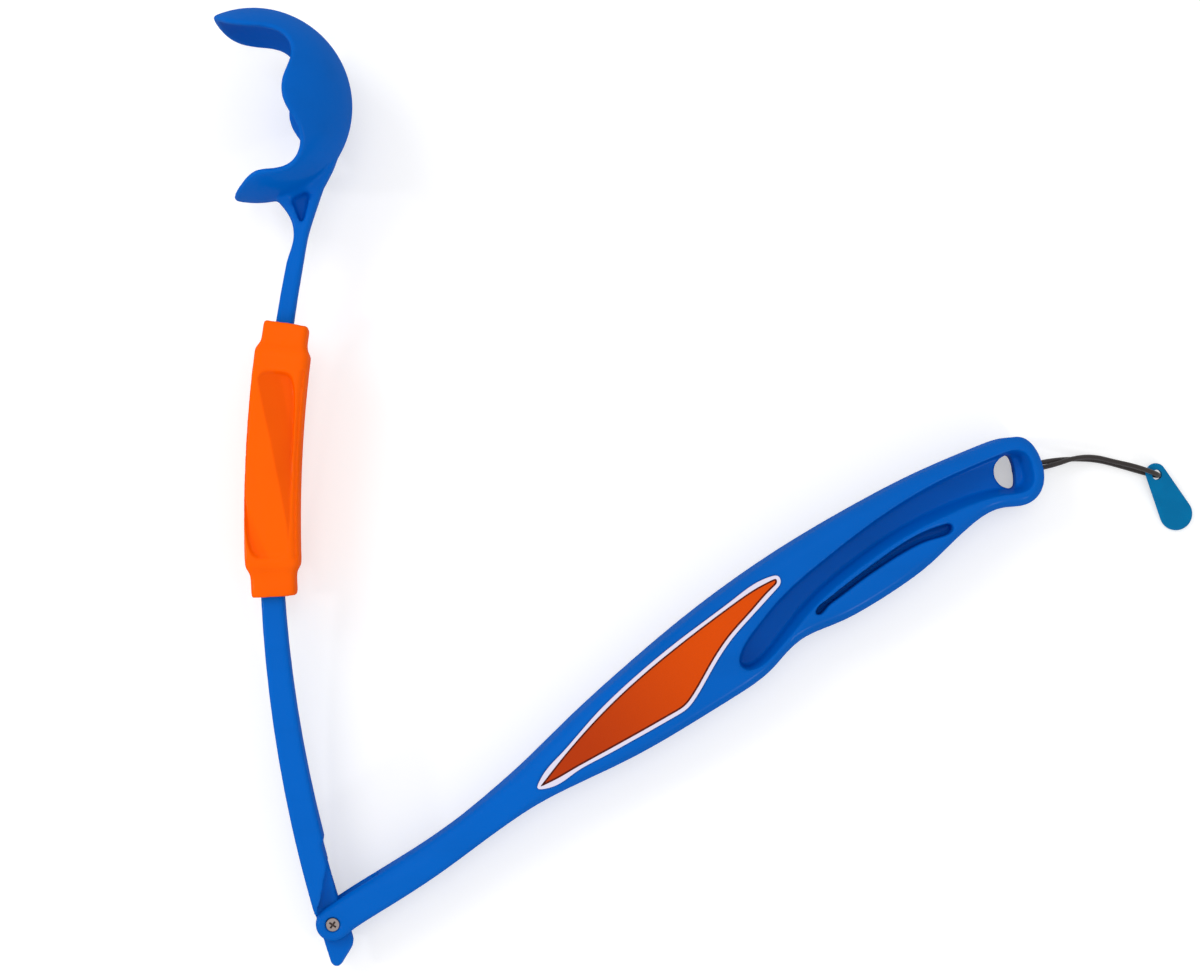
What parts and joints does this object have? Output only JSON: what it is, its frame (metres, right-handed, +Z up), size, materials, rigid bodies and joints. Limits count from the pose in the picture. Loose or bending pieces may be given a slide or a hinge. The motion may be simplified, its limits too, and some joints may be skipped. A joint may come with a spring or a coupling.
{
  "type": "folding dog ball launcher",
  "caption": "Folding ball launcher: bowed handle, hinged throwing arm that ends in an open ball cup, faceted lock sleeve on the arm, and a pull tab on a short cord.",
  "frame": {"origin": "on the surface the launcher lies on, under the middle of its box without the cord and its tab", "axes": "+Z up from the surface, +Y from the hinge towards the ball cup, +X from the throwing arm towards the handle's end"},
  "size_m": [0.3644, 0.3462, 0.0659],
  "materials": {
    "handle": "blue moulded plastic, satin",
    "arm": "blue moulded plastic, satin",
    "label": "orange plate with a raised pale border",
    "sleeve": "orange moulded plastic, satin",
    "pivot": "plain bright steel",
    "cord": "dark round cord",
    "tab": "slightly clear blue plastic"
  },
  "bodies": {
    "handle_body": {"handle": "handle", "label_plate_front": "label", "label_plate_back": "label", "pivot_screw": "pivot", "pivot_nut": "pivot", "cord": "cord", "cord_knot": "cord"},
    "arm": {"throwing_arm": "arm"},
    "sleeve": {"lock_sleeve": "sleeve"},
    "tab": {"pull_tab": "tab"}
  },
  "joints": [
    {"name": "fold", "type": "hinge", "parent": "handle_body", "child": "arm", "pos_m": [-0.10799, -0.157, 0.01206], "axis": [0.0398, -0.0681, 0.9969], "range_deg": [-48, 102.7]},
    {"name": "sleeve_slide", "type": "hinge", "parent": "arm", "child": "sleeve", "pos_m": [0.35789, -0.00867, 0.00358], "axis": [0.0398, -0.0681, 0.9969], "range_deg": [-1.76, 8.2]},
    {"name": "tab_swing", "type": "hinge", "parent": "handle_body", "child": "tab", "pos_m": [0.19817, 0.00735, 0.00365], "axis": [0.0563, -0.1059, 0.9928], "range_deg": [-25, 25]}
  ]
}
